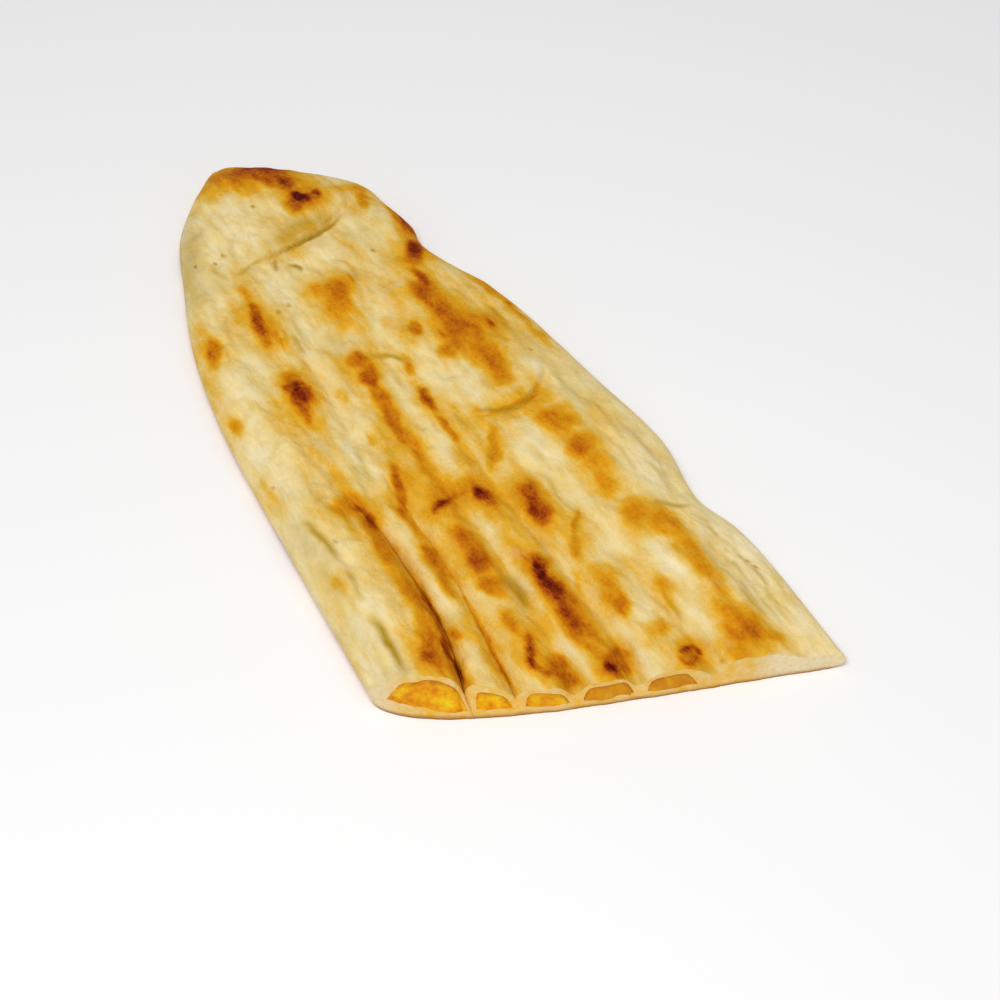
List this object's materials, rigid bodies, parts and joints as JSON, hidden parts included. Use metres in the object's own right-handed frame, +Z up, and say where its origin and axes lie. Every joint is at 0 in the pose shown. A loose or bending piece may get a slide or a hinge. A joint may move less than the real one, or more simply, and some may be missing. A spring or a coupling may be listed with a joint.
{
  "type": "pide",
  "caption": "Half of a closed cheese pide, cut slantwise: a flat tongue of thin browned dough pressed into lengthwise rolls, with melted yellow filling showing at the cut.",
  "frame": {"origin": "on the table, under the middle of the half's box", "axes": "+X from the rounded tip towards the cut, +Y from the thick near roll towards the sealed far lip, +Z up"},
  "size_m": [0.277, 0.1244, 0.0152],
  "materials": {
    "crust": "pale baked dough with golden and dark brown scorch marks, matte",
    "filling": "melted yellow cheese, moist and slightly glossy"
  },
  "bodies": {
    "root": {"dough": "crust", "filling": "filling"}
  },
  "joints": []
}
